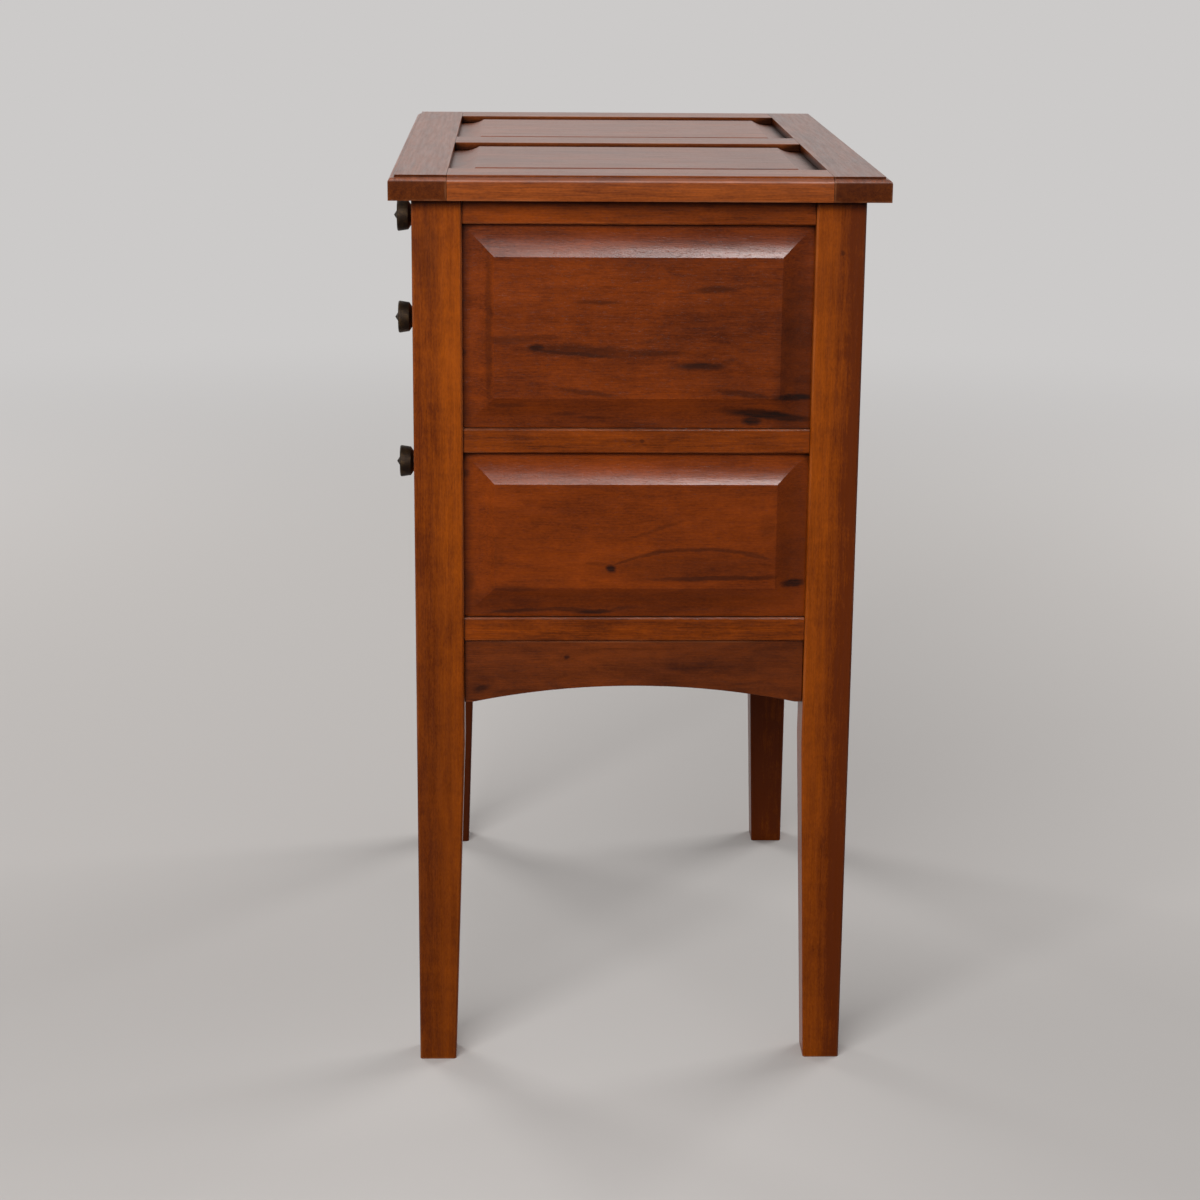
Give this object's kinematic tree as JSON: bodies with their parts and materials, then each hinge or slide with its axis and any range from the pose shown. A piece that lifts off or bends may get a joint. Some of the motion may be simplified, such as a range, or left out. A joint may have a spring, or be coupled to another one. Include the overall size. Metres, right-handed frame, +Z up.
{
  "type": "small chest of drawers",
  "caption": "Small framed and panelled wooden chest of drawers on tapered legs, with arched aprons, a moulded panelled top and turned knobs.",
  "frame": {"origin": "on the floor, below the middle of the outer box, knobs included; the case itself is centred 5 mm behind it", "axes": "+Z up, -Y the way the drawers face and open, +X to the right of a person facing the drawers' backs, the side shown in the picture"},
  "size_m": [0.6, 0.408, 0.762],
  "materials": {
    "leg_wood": "polished red-brown hardwood, upright grain, satin",
    "rail_wood": "polished red-brown hardwood, grain along the rail, satin",
    "panel_wood": "polished red-brown figured hardwood, satin to gloss",
    "top_wood": "polished red-brown hardwood, glossiest on top",
    "inside_wood": "plain unfinished drawer lining wood",
    "knob_brass": "aged and darkened brass",
    "screw_steel": "plain steel"
  },
  "bodies": {
    "case": {"leg_front_right": "leg_wood", "leg_front_left": "leg_wood", "leg_back_right": "leg_wood", "leg_back_left": "leg_wood", "side_rail_top_right": "rail_wood", "side_rail_top_left": "rail_wood", "side_rail_middle_right": "rail_wood", "side_rail_middle_left": "rail_wood", "side_rail_bottom_right": "rail_wood", "side_rail_bottom_left": "rail_wood", "side_apron_right": "rail_wood", "side_apron_left": "rail_wood", "side_panel_upper_right": "panel_wood", "side_panel_upper_left": "panel_wood", "side_panel_lower_right": "panel_wood", "side_panel_lower_left": "panel_wood", "front_rail_top": "rail_wood", "front_rail_upper": "rail_wood", "front_rail_middle": "rail_wood", "front_rail_bottom": "rail_wood", "front_apron": "rail_wood", "drawer_runner_upper_right": "inside_wood", "drawer_runner_upper_left": "inside_wood", "drawer_runner_middle_right": "inside_wood", "drawer_runner_middle_left": "inside_wood", "drawer_runner_bottom_right": "inside_wood", "drawer_runner_bottom_left": "inside_wood", "kicker_right": "inside_wood", "kicker_left": "inside_wood", "back_rail_top": "rail_wood", "back_rail_bottom": "rail_wood", "back_panel": "panel_wood", "top_rail_front": "top_wood", "top_rail_back": "top_wood", "top_rail_end_right": "top_wood", "top_rail_end_left": "top_wood", "top_muntin": "top_wood", "top_panel_right": "top_wood", "top_panel_left": "top_wood"},
    "drawer_top": {"drawer_top_front": "panel_wood", "drawer_top_side_right": "inside_wood", "drawer_top_side_left": "inside_wood", "drawer_top_back": "inside_wood", "drawer_top_bottom": "inside_wood", "drawer_top_knob": "knob_brass", "drawer_top_knob_screw": "screw_steel"},
    "drawer_middle": {"drawer_middle_front": "panel_wood", "drawer_middle_side_right": "inside_wood", "drawer_middle_side_left": "inside_wood", "drawer_middle_back": "inside_wood", "drawer_middle_bottom": "inside_wood", "drawer_middle_knob": "knob_brass", "drawer_middle_knob_screw": "screw_steel"},
    "drawer_bottom": {"drawer_bottom_front": "panel_wood", "drawer_bottom_side_right": "inside_wood", "drawer_bottom_side_left": "inside_wood", "drawer_bottom_back": "inside_wood", "drawer_bottom_bottom": "inside_wood", "drawer_bottom_knob": "knob_brass", "drawer_bottom_knob_screw": "screw_steel"}
  },
  "joints": [
    {"name": "drawer_top_slide", "type": "slide", "parent": "case", "child": "drawer_top", "axis": [0, -1, 0], "range_m": [0, 0.24]},
    {"name": "drawer_middle_slide", "type": "slide", "parent": "case", "child": "drawer_middle", "axis": [0, -1, 0], "range_m": [0, 0.24]},
    {"name": "drawer_bottom_slide", "type": "slide", "parent": "case", "child": "drawer_bottom", "axis": [0, -1, 0], "range_m": [0, 0.24]}
  ]
}
